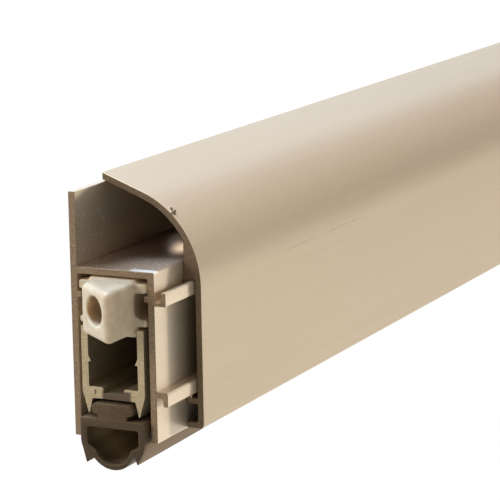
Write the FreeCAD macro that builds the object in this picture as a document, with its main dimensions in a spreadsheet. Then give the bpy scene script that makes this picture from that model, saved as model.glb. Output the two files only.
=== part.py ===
import FreeCAD, Part
import Sketcher

import math
import os
from types import SimpleNamespace

# Automatic door bottom seal. X runs along the door, the back of the base lies on y = 0 and
# faces +Y, Z is up. Sections are drawn as (across, level): across is the distance out from
# the back face, level is the height over the base's bottom edge. The origin is the middle of
# the row of fixing holes, halfway between the shelf and the base's top edge.

SIZES = [
    # base profile
    ("seal_length", 430, "length of the base"),
    ("base_depth", 15, "back face to outer face of the inner wall"),
    ("base_height", 39.9, "bottom edge to top edge"),
    ("back_wall", 1.2, "wall on the door"),
    ("inner_wall", 1.15, "wall behind the cover"),
    ("shelf_top", 27.8, "top of the shelf that closes the channel"),
    ("shelf_thick", 1.1, "shelf thickness"),
    ("rib_level", 22.9, "underside of the two guide ribs"),
    ("rib_thick", 0.9, "guide rib thickness"),
    ("rib_reach", 0.7, "how far a guide rib stands out"),
    ("hook_reach", 2.0, "how far both cover hooks stand out"),
    ("hook_tip", 0.85, "thickness of a hook's tip"),
    ("upper_arm", 0.6, "thickness of the upper hook's arm"),
    ("upper_rise", 2.25, "height of the upper hook"),
    ("upper_level", 22.4, "underside of the upper hook"),
    ("lower_arm", 1.0, "thickness of the lower hook's arm"),
    ("lower_fall", 2.35, "height of the lower hook"),
    ("lower_level", 8.5, "top of the lower hook"),
    ("fixing_pitch", 120, "spacing of the fixing holes"),
    ("fixing_hole", 4.5, "diameter of a fixing hole"),
    # clip-on cover
    ("cover_wall", 1.15, "cover thickness"),
    ("cover_setback", 10, "cover end behind base end"),
    ("cover_radius", 16, "outer bend of the cover"),
    ("cover_slope", 21, "fall of the cover's top in degrees"),
    ("cover_lap", 0.7, "top edge of the cover, out from the door"),
    ("cover_foot", 0.2, "underside of the cover's bottom flange"),
    ("foot_thick", 1.0, "bottom flange and lug thickness"),
    ("foot_radius", 0.8, "outer bottom corner of the cover"),
    ("tongue_thick", 0.8, "tongue in the upper hook"),
    ("lug_level", 4.25, "underside of the lug under the lower hook"),
    ("clip_gap", 0.12, "play between cover and hooks"),
    # carrier and gasket
    ("carrier_play", 0.675, "carrier to channel wall"),
    ("carrier_leg", 1.2, "carrier leg thickness"),
    ("carrier_top", 18.4, "top of the legs when raised"),
    ("carrier_tip", 4.15, "bottom of the legs when raised"),
    ("leg_taper", 1.0, "how far a leg's tip turns in"),
    ("bump_level", 12.6, "underside of the bumps inside the legs"),
    ("bump_reach", 0.5, "how far a bump stands out"),
    ("web_under", 6.6, "underside of the web"),
    ("web_thick", 1.0, "web thickness"),
    ("shoulder_rise", 0.9, "shoulders over the web"),
    ("shoulder_width", 2.6, "shoulder on each side of the web"),
    ("carrier_proud", 0.5, "carrier out of the base's end"),
    ("gasket_proud", 1.3, "gasket out of the base's end"),
    ("gasket_play", 0.5, "gasket to channel wall"),
    ("head_half", 3.75, "half width of the gasket's head"),
    ("head_gap", 0.6, "gasket's head under the web"),
    ("neck_half", 2.6, "half width of the gasket's neck"),
    ("plate_top", 3.5, "top of the gasket's plate when raised"),
    ("plate_thick", 1.4, "thickness of the gasket's plate"),
    ("fin_wall", 1.15, "side wall of the gasket"),
    ("fin_bend", -0.8, "level where the fins turn in"),
    ("fin_tip", -3.9, "level of the fin tips"),
    ("fin_turn", 1.1, "how far a fin's tip turns in"),
    ("notch_half", 3.7, "half width between the notches"),
    ("notch_level", -2.7, "level of the notches"),
    ("bulb_low", -4.8, "bottom of the bulb"),
    ("bulb_wall", 0.8, "bulb thickness"),
    # actuator nose, push bar and shoes
    ("tab_play", 0.3, "guide tab to channel wall"),
    ("tab_clear", 0.4, "guide tab over a rib"),
    ("tab_thick", 1.6, "upper guide tab"),
    ("tab_low", 18.8, "underside of the lower guide tabs"),
    ("low_tab_thick", 1.2, "lower guide tab"),
    ("body_half", 4.2, "half width of the actuator over and under its tabs"),
    ("waist_half", 3.3, "half width of the actuator between its tabs"),
    ("body_low", 17.0, "underside of the actuator"),
    ("body_top", 26.4, "top of the actuator"),
    ("belly_round", 0.6, "lower corners of the actuator"),
    ("tab_edge", 0.25, "corners of the actuator's tabs"),
    ("low_root", 2.0, "root of the actuator's lower tabs"),
    ("high_root", 0.6, "root of the actuator's upper tabs"),
    ("body_length", 19, "actuator inside the base"),
    ("nose_half", 4.1, "half width of the nose"),
    ("nose_low", 17.6, "underside of the nose"),
    ("nose_high", 25.9, "top of the nose"),
    ("nose_heel", 2.6, "short side of the bevelled nose"),
    ("nose_tip", 9.1, "long side of the bevelled nose before rounding"),
    ("nose_round", 0.9, "rounding of the nose's tip and heel"),
    ("nose_edge", 0.9, "rounding of the nose's top and bottom edges"),
    ("nose_bore", 4.8, "diameter of the hole in the nose"),
    ("bore_level", 22.2, "level of the hole in the nose"),
    ("bore_shift", 0.2, "hole beside the channel's middle"),
    ("bore_depth", 5, "hole end inside the base's end"),
    ("bar_width", 6, "push bar width"),
    ("bar_thick", 1.8, "push bar thickness"),
    ("bar_level", 24.0, "underside of the push bar"),
    ("bar_start", 8, "push bar end inside the base's end"),
    ("bar_tail", 4, "push bar past the rear shoe's pin"),
    ("shoe_half", 5.25, "half width of a shoe between its tabs"),
    ("shoe_length", 17, "slide shoe"),
    ("shoe_tail", 5, "shoe past its pin"),
    # bow springs, anchors and saddles
    ("spring_inset", 65, "front shoe pin from the base's end"),
    ("spring_pitch", 200, "front shoe pin to rear shoe pin"),
    ("spring_span", 110, "shoe pin to anchor pin"),
    ("spring_sag", 5.5, "bow of a spring when raised"),
    ("spring_thick", 0.6, "spring strip thickness"),
    ("spring_width", 7, "spring strip width"),
    ("pin_level", 20.5, "level of the spring pins"),
    ("pin_radius", 1.0, "spring pin"),
    ("eye_play", 0.12, "spring eye to pin"),
    ("slot_play", 0.25, "spring to the cheeks beside it"),
    ("anchor_low", 18.75, "underside of an anchor block"),
    ("anchor_high", 22.6, "top of an anchor block"),
    ("anchor_length", 17, "anchor block"),
    ("anchor_lead", 4, "anchor block ahead of its pin"),
    ("saddle_length", 14, "saddle"),
    ("saddle_play", 0.15, "saddle to carrier leg"),
    ("saddle_neck", 3.3, "half width of a saddle over the bumps"),
    ("rivet_radius", 1.2, "rivet shank"),
    ("head_radius", 1.9, "rivet head"),
    ("head_height", 0.45, "rivet head"),
    ("rivet_play", 0.05, "rivet to its hole"),
]


class Size:
    """A length with its value and the expression that ties it to the sheet."""

    def __init__(self, value, text):
        self.value = value
        self.text = text

    def __add__(self, other):
        other = size(other)
        return Size(self.value + other.value, "(%s + %s)" % (self.text, other.text))

    def __sub__(self, other):
        other = size(other)
        return Size(self.value - other.value, "(%s - %s)" % (self.text, other.text))

    def __mul__(self, other):
        other = size(other)
        return Size(self.value * other.value, "(%s * %s)" % (self.text, other.text))

    def __truediv__(self, other):
        other = size(other)
        return Size(self.value / other.value, "(%s / %s)" % (self.text, other.text))

    def __neg__(self):
        return Size(-self.value, "(-%s)" % self.text)


def size(number):
    if isinstance(number, Size):
        return number
    return Size(float(number), "(%r)" % float(number))


def sine(angle):
    return Size(math.sin(math.radians(angle.value)), "sin(%s)" % angle.text)


def cosine(angle):
    return Size(math.cos(math.radians(angle.value)), "cos(%s)" % angle.text)


def root(square):
    return Size(math.sqrt(square.value), "sqrt(%s)" % square.text)


doc = FreeCAD.newDocument("DoorSeal")
sheet = doc.addObject("Spreadsheet::Sheet", "Sizes")
for row, (alias, number, note) in enumerate(SIZES, start=1):
    sheet.set("A%d" % row, alias)
    sheet.set("B%d" % row, str(number))
    sheet.setAlias("B%d" % row, alias)
    sheet.set("C%d" % row, note)
doc.recompute()
d = SimpleNamespace(**{alias: Size(float(number), "Sizes." + alias) for alias, number, note in SIZES})
fixing_level = (d.shelf_top + d.base_height) / 2


def corner(across, level, rounded=None, bend=None):
    """A section corner: rounded is the radius of a square corner, bend the radius of the
    curve that leads to the next corner (positive turns left)."""
    return SimpleNamespace(x=size(across), y=size(level), rounded=rounded, bend=bend)


def round_corners(corners):
    """Turns every rounded corner into two corners with a bend between them."""
    result = []
    count = len(corners)
    for i, here in enumerate(corners):
        if here.rounded is None:
            result.append(here)
            continue
        before = corners[i - 1]
        after = corners[(i + 1) % count]
        come = FreeCAD.Vector(here.x.value - before.x.value, here.y.value - before.y.value, 0).normalize()
        go = FreeCAD.Vector(after.x.value - here.x.value, after.y.value - here.y.value, 0).normalize()
        turn = 1 if come.cross(go).z > 0 else -1
        r = here.rounded
        result.append(corner(here.x - r * come.x, here.y - r * come.y, bend=r * turn))
        result.append(corner(here.x + r * go.x, here.y + r * go.y, bend=here.bend))
    return result


def fix_point(sketch, piece, end, x, y):
    for kind, length in (("DistanceX", x), ("DistanceY", y)):
        number = sketch.addConstraint(Sketcher.Constraint(kind, -1, 1, piece, end, length.value))
        sketch.setExpression("Constraints[%d]" % number, length.text)


def fix_radius(sketch, piece, radius):
    number = sketch.addConstraint(Sketcher.Constraint("Radius", piece, radius.value))
    sketch.setExpression("Constraints[%d]" % number, radius.text)


def curve_between(start, stop, bend):
    """An arc of the given radius and the end numbers at which it starts and stops."""
    radius = abs(bend.value)
    along = stop - start
    left = FreeCAD.Vector(-along.y, along.x, 0).normalize()
    offset = math.sqrt(max(radius ** 2 - along.Length ** 2 / 4, 0))
    side = 1 if bend.value > 0 else -1
    centre = (start + stop) * 0.5 + left * (offset * side)
    first = math.atan2(start.y - centre.y, start.x - centre.x)
    last = math.atan2(stop.y - centre.y, stop.x - centre.x)
    circle = Part.Circle(centre, FreeCAD.Vector(0, 0, 1), radius)
    if side > 0:
        return Part.ArcOfCircle(circle, first, last), (1, 2)
    return Part.ArcOfCircle(circle, last, first), (2, 1)


def draw(sketch, corners):
    """Draws a closed loop whose every corner and bend is bound to the sheet."""
    corners = round_corners(corners)
    count = len(corners)
    points = [FreeCAD.Vector(c.x.value, c.y.value, 0) for c in corners]
    numbers = []
    ends = []
    for i, here in enumerate(corners):
        stop = points[(i + 1) % count]
        if here.bend is None:
            shape, end = Part.LineSegment(points[i], stop), (1, 2)
        else:
            shape, end = curve_between(points[i], stop, here.bend)
        numbers.append(sketch.addGeometry(shape, False))
        ends.append(end)
    for i, here in enumerate(corners):
        j = (i + 1) % count
        meeting = (numbers[i], ends[i][1], numbers[j], ends[j][0])
        sketch.addConstraint(Sketcher.Constraint("Coincident", *meeting))
        fix_point(sketch, numbers[i], ends[i][0], here.x, here.y)
        if here.bend is not None:
            fix_radius(sketch, numbers[i], here.bend if here.bend.value > 0 else -here.bend)


def ring(sketch, x, y, radius):
    centre = FreeCAD.Vector(x.value, y.value, 0)
    number = sketch.addGeometry(Part.Circle(centre, FreeCAD.Vector(0, 0, 1), radius.value), False)
    fix_point(sketch, number, 3, x, y)
    fix_radius(sketch, number, radius)


def new_body(label):
    body = doc.addObject("PartDesign::Body", label)
    body.Label = label
    body.setExpression("Placement.Base.z", (-fixing_level).text)
    return body


def sketch_on(body, role, offset, name):
    plane = [o for o in body.Origin.OriginFeatures if o.Role == role][0]
    sketch = body.newObject("Sketcher::SketchObject", body.Label + "_" + name)
    sketch.AttachmentSupport = [(plane, "")]
    sketch.MapMode = "FlatFace"
    sketch.setExpression("AttachmentOffset.Base.z", size(offset).text)
    return sketch


def pad(body, sketch, length, name):
    feature = body.newObject("PartDesign::Pad", body.Label + "_" + name)
    feature.Profile = sketch
    feature.setExpression("Length", size(length).text)
    sketch.Visibility = False
    doc.recompute()
    return feature


def cut(body, sketch, length, name):
    """A pocket that runs the way the sketch faces; it has to take something away."""
    before = body.Shape.Volume
    feature = body.newObject("PartDesign::Pocket", body.Label + "_" + name)
    feature.Profile = sketch
    feature.Reversed = True
    feature.setExpression("Length", size(length).text)
    doc.recompute()
    if not body.Shape.Volume < before - 0.01:
        raise RuntimeError("nothing cut by " + feature.Name)
    return feature


def round_edges(body, radius, name, chosen):
    tip = body.Tip
    edges = ["Edge%d" % (i + 1) for i, edge in enumerate(tip.Shape.Edges) if chosen(edge)]
    feature = body.newObject("PartDesign::Fillet", body.Label + "_" + name)
    feature.Base = (tip, edges)
    feature.setExpression("Radius", radius.text)
    doc.recompute()
    return feature


def box(left, right, low, high):
    return [corner(left, low), corner(right, low), corner(right, high), corner(left, high)]


def mirrored(half, middle):
    """A section from its right half: each corner is (out from the middle, level, options)."""
    right = [corner(middle + size(out), level, **more) for out, level, more in half]
    left = []
    for i in range(len(half) - 1, -1, -1):
        out, level, more = half[i]
        bend = half[i - 1][2].get("bend") if i > 0 else None
        left.append(corner(middle - size(out), level, rounded=more.get("rounded"), bend=bend))
    return right + left


def outward(corners):
    """Sections are drawn looking along +X, where a piece stands out from the door to -Y."""
    turned = [corner(-c.x, c.y, c.rounded, None if c.bend is None else -c.bend) for c in corners]
    return turned


def extrusion(label, sections, start, stop):
    """A piece of one section, from start to stop along the door."""
    body = new_body(label)
    sketch = sketch_on(body, "YZ_Plane", start, "section")
    for corners in sections:
        draw(sketch, outward(corners))
    pad(body, sketch, stop - start, "run")
    return body


def along_cut(body, corners, start, stop, name):
    sketch = sketch_on(body, "YZ_Plane", start, name + "_section")
    draw(sketch, outward(corners))
    cut(body, sketch, stop - start, name)


def down_hole(body, x, across, low, high, radius, name):
    sketch = sketch_on(body, "XY_Plane", low, name + "_circle")
    ring(sketch, x, -across, radius)
    cut(body, sketch, high - low, name)


def across_hole(body, x, level, near, far, radius, name):
    sketch = sketch_on(body, "XZ_Plane", near, name + "_circle")
    ring(sketch, x, level, radius)
    cut(body, sketch, far - near, name)


def turned_piece(label, half_profile, x, across, level, rotation):
    """A rivet or pin: a half profile of (radius, height) turned about its own axis."""
    body = doc.addObject("PartDesign::Body", label)
    body.Label = label
    sketch = sketch_on(body, "XZ_Plane", 0, "profile")
    draw(sketch, [corner(r, h) for r, h in half_profile])
    feature = body.newObject("PartDesign::Revolution", label + "_turn")
    feature.Profile = sketch
    feature.ReferenceAxis = (sketch, ["V_Axis"])
    feature.Angle = 360
    body.Placement = FreeCAD.Placement(FreeCAD.Vector(0, 0, 0), rotation)
    body.setExpression("Placement.Base.x", x.text)
    body.setExpression("Placement.Base.y", (-across).text)
    body.setExpression("Placement.Base.z", (level - fixing_level).text)
    doc.recompute()
    return body


UPRIGHT = FreeCAD.Rotation()
OUTWARD = FreeCAD.Rotation(FreeCAD.Vector(1, 0, 0), 90)


def rivet(label, x, across, level, depth, rotation):
    """Head on the face at the given place, shank going the other way."""
    profile = [(0, -depth), (d.rivet_radius, -depth), (d.rivet_radius, 0), (d.head_radius, 0),
               (d.head_radius, d.head_height * 0.5), (d.head_radius * 0.7, d.head_height),
               (0, d.head_height)]
    return turned_piece(label, profile, x, across, level, rotation)


def pin(label, x, near, far, level):
    length = far - near
    nick = d.pin_radius * 0.2
    profile = [(0, 0), (d.pin_radius - nick, 0), (d.pin_radius, nick), (d.pin_radius, length - nick),
               (d.pin_radius - nick, length), (0, length)]
    return turned_piece(label, profile, x, near, level, OUTWARD)


near_end = -d.seal_length / 2
far_end = d.seal_length / 2
channel_out = d.base_depth - d.inner_wall
channel_half = (channel_out - d.back_wall) / 2
middle = d.back_wall + channel_half
shelf_under = d.shelf_top - d.shelf_thick
rib_top = d.rib_level + d.rib_thick
hook_out = d.base_depth + d.hook_reach
rivet_hole = d.rivet_radius + d.rivet_play

# Base profile: one section with the channel, its ribs and the two hooks, then the fixing holes.

soft = size(0.25)
base_section = [
    corner(0, 0), corner(d.back_wall, 0),
    corner(d.back_wall, d.rib_level), corner(d.back_wall + d.rib_reach, d.rib_level),
    corner(d.back_wall + d.rib_reach, rib_top), corner(d.back_wall, rib_top),
    corner(d.back_wall, shelf_under), corner(channel_out, shelf_under),
    corner(channel_out, rib_top), corner(channel_out - d.rib_reach, rib_top),
    corner(channel_out - d.rib_reach, d.rib_level), corner(channel_out, d.rib_level),
    corner(channel_out, 0), corner(d.base_depth, 0),
    corner(d.base_depth, d.lower_level - d.lower_arm),
    corner(hook_out - d.hook_tip, d.lower_level - d.lower_arm),
    corner(hook_out - d.hook_tip, d.lower_level - d.lower_fall, soft),
    corner(hook_out, d.lower_level - d.lower_fall, soft),
    corner(hook_out, d.lower_level, soft * 2), corner(d.base_depth, d.lower_level),
    corner(d.base_depth, d.upper_level), corner(hook_out, d.upper_level, soft),
    corner(hook_out, d.upper_level + d.upper_rise, soft),
    corner(hook_out - d.hook_tip, d.upper_level + d.upper_rise, soft),
    corner(hook_out - d.hook_tip, d.upper_level + d.upper_arm),
    corner(d.base_depth, d.upper_level + d.upper_arm),
    corner(d.base_depth, d.shelf_top, soft), corner(d.back_wall, d.shelf_top),
    corner(d.back_wall, d.base_height), corner(0, d.base_height),
]
base = extrusion("base_profile", [base_section], near_end, far_end)

hole_sketch = sketch_on(base, "XZ_Plane", size(-1), "fixing_circle")
ring(hole_sketch, -d.fixing_pitch * 1.5, fixing_level, d.fixing_hole / 2)
hole = cut(base, hole_sketch, d.back_wall + 2, "fixing_hole")
row = base.newObject("PartDesign::LinearPattern", "base_profile_fixing_row")
row.Originals = [hole]
row.Direction = (hole_sketch, ["H_Axis"])
row.setExpression("Length", (d.fixing_pitch * 3).text)
row.Occurrences = 4
base.Tip = row
doc.recompute()

# Clip-on cover: sloped top, one large bend, a wedge and tongue in the upper hook, a lug with
# a nib in the lower hook and a bottom flange.

cover_in = hook_out + d.clip_gap
cover_out = cover_in + d.cover_wall
bend_across = cover_out - d.cover_radius
sin_top = sine(d.cover_slope)
cos_top = cosine(d.cover_slope)
fall = sin_top / cos_top
drop_thick = d.cover_wall / cos_top
bend_level = (d.base_height + d.clip_gap + drop_thick - d.cover_radius * cos_top
              - fall * (bend_across + d.cover_radius * sin_top - d.back_wall))
inner_radius = d.cover_radius - d.cover_wall
lap_run = bend_across + d.cover_radius * sin_top - d.cover_lap
lap_level = bend_level + d.cover_radius * cos_top + fall * lap_run
wedge_face = d.base_depth + d.clip_gap
wedge_low = d.upper_level + d.upper_rise + d.clip_gap
wedge_reach = wedge_face - bend_across
wedge_high = bend_level + root(inner_radius * inner_radius - wedge_reach * wedge_reach)
tongue_low = d.upper_level + d.upper_arm + d.clip_gap * 2
nib_face = wedge_face + d.clip_gap
nib_out = hook_out - d.hook_tip - d.clip_gap
nib_high = d.lower_level - d.lower_arm - d.clip_gap * 4
lug_high = d.lug_level + d.foot_thick
foot_high = d.cover_foot + d.foot_thick
cover_section = [
    corner(d.cover_lap, lap_level - drop_thick),
    corner(bend_across + inner_radius * sin_top, bend_level + inner_radius * cos_top, bend=-inner_radius),
    corner(wedge_face, wedge_high),
    corner(wedge_face, tongue_low, soft), corner(wedge_face + d.tongue_thick, tongue_low, soft),
    corner(wedge_face + d.tongue_thick, wedge_low), corner(cover_in, wedge_low),
    corner(cover_in, lug_high), corner(nib_out, lug_high), corner(nib_out, nib_high, soft),
    corner(nib_face, nib_high, soft), corner(nib_face, d.lug_level), corner(cover_in, d.lug_level),
    corner(cover_in, foot_high), corner(wedge_face, foot_high), corner(wedge_face, d.cover_foot),
    corner(cover_out, d.cover_foot, d.foot_radius),
    corner(cover_out, bend_level, bend=d.cover_radius),
    corner(bend_across + d.cover_radius * sin_top, bend_level + d.cover_radius * cos_top),
    corner(d.cover_lap, lap_level),
]
cover = extrusion("clip_on_cover", [cover_section], near_end + d.cover_setback, far_end)

# Carrier: two legs with bumps that hold the saddles, a web with shoulders, pointed tips that
# grip the gasket's head.

leg_out = channel_half - d.carrier_play
leg_in = leg_out - d.carrier_leg
web_top = d.web_under + d.web_thick
shoulder_top = web_top + d.shoulder_rise
tip_out = leg_out - d.leg_taper
groove_half = d.head_half + d.eye_play
tip_flat = size(0.2)
carrier_half = [
    (leg_in - d.shoulder_width, web_top, {}),
    (leg_in - d.shoulder_width, shoulder_top, {"rounded": d.shoulder_rise * 0.6}),
    (leg_in, shoulder_top, {}),
    (leg_in, d.bump_level, {}),
    (leg_in - d.bump_reach, d.bump_level, {}),
    (leg_in, d.bump_level + d.bump_reach * 2, {}),
    (leg_in, d.carrier_top, {}),
    (leg_out, d.carrier_top, {}),
    (leg_out, web_top, {}),
    (tip_out, d.carrier_tip, {}),
    (tip_out - tip_flat, d.carrier_tip, {}),
    (groove_half, d.web_under, {}),
]
carrier = extrusion("carrier_profile", [mirrored(carrier_half, middle)],
                    near_end - d.carrier_proud, far_end)

# Gasket: head under the web, plate, two fins and a hollow bulb.

plate_half = channel_half - d.gasket_play
head_low = d.carrier_tip + 0.2
plate_under = d.plate_top - d.plate_thick
bulb_rise = d.notch_level - d.bulb_low
bulb_radius = (d.notch_half * d.notch_half + bulb_rise * bulb_rise) / (bulb_rise * 2)
bulb_centre = d.bulb_low + bulb_radius
hollow_radius = bulb_radius - d.bulb_wall
hollow_half = d.notch_half - d.bulb_wall * 0.5
hollow_low = bulb_centre - root(hollow_radius * hollow_radius - hollow_half * hollow_half)
gasket_half = [
    (d.head_half - 0.5, d.web_under - d.head_gap, {}),
    (d.head_half, d.web_under - d.head_gap - 0.4, {}),
    (d.head_half - 0.2, head_low, {}),
    (d.neck_half, head_low, {}),
    (d.neck_half, d.plate_top, {}),
    (plate_half, d.plate_top, {}),
    (plate_half, d.fin_bend, {}),
    (plate_half - d.fin_turn, d.fin_tip, {}),
    (d.notch_half, d.notch_level, {"bend": -bulb_radius}),
]
gasket_hollow = [
    (plate_half - d.fin_wall, plate_under, {"rounded": size(0.4)}),
    (plate_half - d.fin_wall, d.fin_bend, {}),
    (hollow_half, hollow_low, {"bend": -hollow_radius}),
]
gasket = extrusion("seal_gasket", [mirrored(gasket_half, middle), mirrored(gasket_hollow, middle)],
                   near_end - d.gasket_proud, far_end)

# Actuator: a slider with four tabs round the guide ribs, a bevelled nose and its hole.

tab_half = channel_half - d.tab_play
tab_high = rib_top + d.tab_clear
low_tab_top = d.tab_low + d.low_tab_thick


def slider_half(half, waist, top, edge=None, low_root=None, high_root=None):
    """Right half of a slider's section: a body with a guide tab over and under each rib."""
    return [
        (tab_half, d.tab_low, {"rounded": edge}), (tab_half, low_tab_top, {"rounded": edge}),
        (waist, low_tab_top, {"rounded": low_root}), (waist, tab_high, {"rounded": high_root}),
        (tab_half, tab_high, {"rounded": edge}), (tab_half, tab_high + d.tab_thick, {"rounded": edge}),
        (half, tab_high + d.tab_thick, {}), (half, top, {"rounded": edge}),
    ]


bar_half = d.bar_width / 2
bar_top = d.bar_level + d.bar_thick
bar_from = near_end + d.bar_start
nose_belly = [(d.body_half, d.body_low, {"rounded": d.belly_round}), (d.body_half, d.tab_low, {})]
nose_section = nose_belly + slider_half(d.body_half, d.waist_half, d.body_top,
                                        d.tab_edge, d.low_root, d.high_root)
nose = extrusion("actuator_nose", [mirrored(nose_section, middle)], near_end, near_end + d.body_length)
nose_plan = sketch_on(nose, "XY_Plane", d.nose_low, "nose_plan")
draw(nose_plan, [
    corner(near_end, -(middle - d.nose_half)), corner(near_end - d.nose_heel, -(middle - d.nose_half)),
    corner(near_end - d.nose_tip, -(middle + d.nose_half)), corner(near_end, -(middle + d.nose_half)),
])
pad(nose, nose_plan, d.nose_high - d.nose_low, "nose")
front = near_end.value


def upright_on_nose(edge):
    return edge.BoundBox.XMax < front - 0.5 and edge.BoundBox.ZLength > 1


def outline_on_nose(edge):
    return edge.BoundBox.XMin < front - 0.5 and edge.BoundBox.ZLength < 0.01


round_edges(nose, d.nose_round, "round_tip", upright_on_nose)
round_edges(nose, d.nose_edge, "soft_edges", outline_on_nose)
bore_sketch = sketch_on(nose, "YZ_Plane", near_end - d.nose_tip - 1, "bore_circle")
ring(bore_sketch, -(middle - d.bore_shift), d.bore_level, d.nose_bore / 2)
cut(nose, bore_sketch, d.nose_tip + d.bore_depth + 1, "bore")
along_cut(nose, box(middle - bar_half, middle + bar_half, d.bar_level, d.body_top + 1),
          bar_from, near_end + d.body_length, "bar_seat")
nose_rivet_x = near_end + (d.bar_start + d.body_length) / 2
rivet_low = d.tab_low + 1
down_hole(nose, nose_rivet_x, middle, rivet_low, d.body_top, rivet_hole, "rivet_hole")

# Push bar with its shoes: each shoe rides on the ribs and holds a spring's eye on a pin.

front_pin_x = near_end + d.spring_inset
rear_pin_x = front_pin_x + d.spring_pitch
bar = extrusion("push_bar", [box(middle - bar_half, middle + bar_half, d.bar_level, bar_top)],
                bar_from, rear_pin_x + d.bar_tail)
slot_half = d.spring_width / 2 + d.slot_play
eye_hole = d.pin_radius + d.eye_play
eye_radius = eye_hole + d.spring_thick
eye_room = eye_radius + 0.6
cheek_out = d.shoe_half - 0.1
shoe_top = tab_high + d.tab_thick + 0.25


def shoe_rivet_x(pin_x):
    return pin_x - (d.shoe_length - d.shoe_tail + eye_room) / 2


def make_shoe(label, pin_x):
    start = pin_x - d.shoe_length + d.shoe_tail
    stop = pin_x + d.shoe_tail
    body = extrusion(label, [mirrored(slider_half(d.shoe_half, d.shoe_half, shoe_top), middle)], start, stop)
    seat = box(middle - bar_half, middle + bar_half, d.bar_level, d.body_top)
    along_cut(body, seat, start, stop, "bar_seat")
    along_cut(body, box(middle - slot_half, middle + slot_half, d.tab_low - 1, d.pin_level + eye_room),
              pin_x - eye_room, stop, "eye_slot")
    across_hole(body, pin_x, d.pin_level, middle - d.shoe_half - 1, middle + d.shoe_half + 1,
                d.pin_radius + d.rivet_play, "pin_hole")
    down_hole(body, shoe_rivet_x(pin_x), middle, rivet_low, d.bar_level + 1, rivet_hole, "rivet_hole")
    return body


make_shoe("front_slide_shoe", front_pin_x)
make_shoe("rear_slide_shoe", rear_pin_x)
for name, rivet_x in (("nose_rivet", nose_rivet_x), ("front_shoe_rivet", shoe_rivet_x(front_pin_x)),
                      ("rear_shoe_rivet", shoe_rivet_x(rear_pin_x))):
    down_hole(bar, rivet_x, middle, d.bar_level - 1, bar_top + 1, rivet_hole, name + "_hole")
    rivet(name, rivet_x, middle, bar_top, bar_top - rivet_low, UPRIGHT)
pin("front_shoe_pin", front_pin_x, middle - cheek_out, middle + cheek_out, d.pin_level)
pin("rear_shoe_pin", rear_pin_x, middle - cheek_out, middle + cheek_out, d.pin_level)

# Anchor blocks: riveted to the inner wall, each holds the other eye of a spring.

rivet_back = middle
for side, shoe_x in (("front", front_pin_x), ("rear", rear_pin_x)):
    pin_x = shoe_x + d.spring_span
    start = pin_x - d.anchor_lead
    stop = start + d.anchor_length
    block = extrusion(side + "_anchor_block",
                      [box(d.back_wall + d.clip_gap, channel_out, d.anchor_low, d.anchor_high)], start, stop)
    along_cut(block, box(middle - slot_half, middle + slot_half, d.anchor_low - 1, d.anchor_high + 1),
              start, pin_x + eye_room, "eye_slot")
    pin_hole = d.pin_radius + d.rivet_play
    across_hole(block, pin_x, d.pin_level, size(0), channel_out - 0.5, pin_hole, "pin_hole")
    anchor_rivet_x = (pin_x + eye_room + stop) / 2
    across_hole(block, anchor_rivet_x, d.pin_level, rivet_back, d.base_depth, rivet_hole, "rivet_hole")
    across_hole(base, anchor_rivet_x, d.pin_level, channel_out - 0.5, d.base_depth + 0.5, rivet_hole,
                side + "_anchor_hole")
    rivet(side + "_anchor_rivet", anchor_rivet_x, d.base_depth, d.pin_level,
          d.base_depth - rivet_back, OUTWARD)
    pin(side + "_anchor_pin", pin_x, d.back_wall + d.clip_gap * 2, channel_out - 0.6, d.pin_level)

# Bow springs and the saddles that tie their middles to the carrier.

arc_radius = d.spring_span * d.spring_span / (d.spring_sag * 8) + d.spring_sag / 2
half_strip = d.spring_thick / 2
strip_low = d.pin_level - d.spring_sag - half_strip
strip_high = strip_low + d.spring_thick
span_half = d.spring_span / 2


def strip_end(radius):
    return d.pin_level - d.spring_sag + arc_radius - root(radius * radius - span_half * span_half)


for side, shoe_x in (("front", front_pin_x), ("rear", rear_pin_x)):
    anchor_x = shoe_x + d.spring_span
    centre_x = shoe_x + span_half
    strip = new_body(side + "_bow_spring")
    edge = middle - d.spring_width / 2
    strip_sketch = sketch_on(strip, "XZ_Plane", edge, "strip_outline")
    low_end = strip_end(arc_radius + half_strip)
    high_end = strip_end(arc_radius - half_strip)
    draw(strip_sketch, [
        corner(shoe_x, low_end, bend=arc_radius + half_strip), corner(anchor_x, low_end),
        corner(anchor_x, high_end, bend=-(arc_radius - half_strip)), corner(shoe_x, high_end),
    ])
    pad(strip, strip_sketch, d.spring_width, "strip")
    for name, eye_x in (("shoe_eye", shoe_x), ("anchor_eye", anchor_x)):
        eye_sketch = sketch_on(strip, "XZ_Plane", edge, name + "_circle")
        ring(eye_sketch, eye_x, d.pin_level, eye_radius)
        pad(strip, eye_sketch, d.spring_width, name)
        across_hole(strip, eye_x, d.pin_level, edge - 1, edge + d.spring_width + 1, eye_hole, name + "_hole")
    down_hole(strip, centre_x, middle, strip_low - 1, strip_high + 1, rivet_hole, "rivet_hole")

    saddle_start = centre_x - d.saddle_length / 2
    foot_half = leg_in - d.saddle_play
    foot_top = d.bump_level - d.saddle_play
    saddle_half = [
        (foot_half, shoulder_top, {}), (foot_half, foot_top, {"rounded": size(0.3)}),
        (d.saddle_neck, foot_top, {}), (d.saddle_neck, strip_low, {"rounded": size(0.3)}),
    ]
    saddle = extrusion(side + "_saddle", [mirrored(saddle_half, middle)],
                       saddle_start, saddle_start + d.saddle_length)
    saddle_rivet_low = shoulder_top + 0.5
    down_hole(saddle, centre_x, middle, saddle_rivet_low, strip_low + 1, rivet_hole, "rivet_hole")
    rivet(side + "_saddle_rivet", centre_x, middle, strip_high, strip_high - saddle_rivet_low, UPRIGHT)

doc.recompute()

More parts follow.
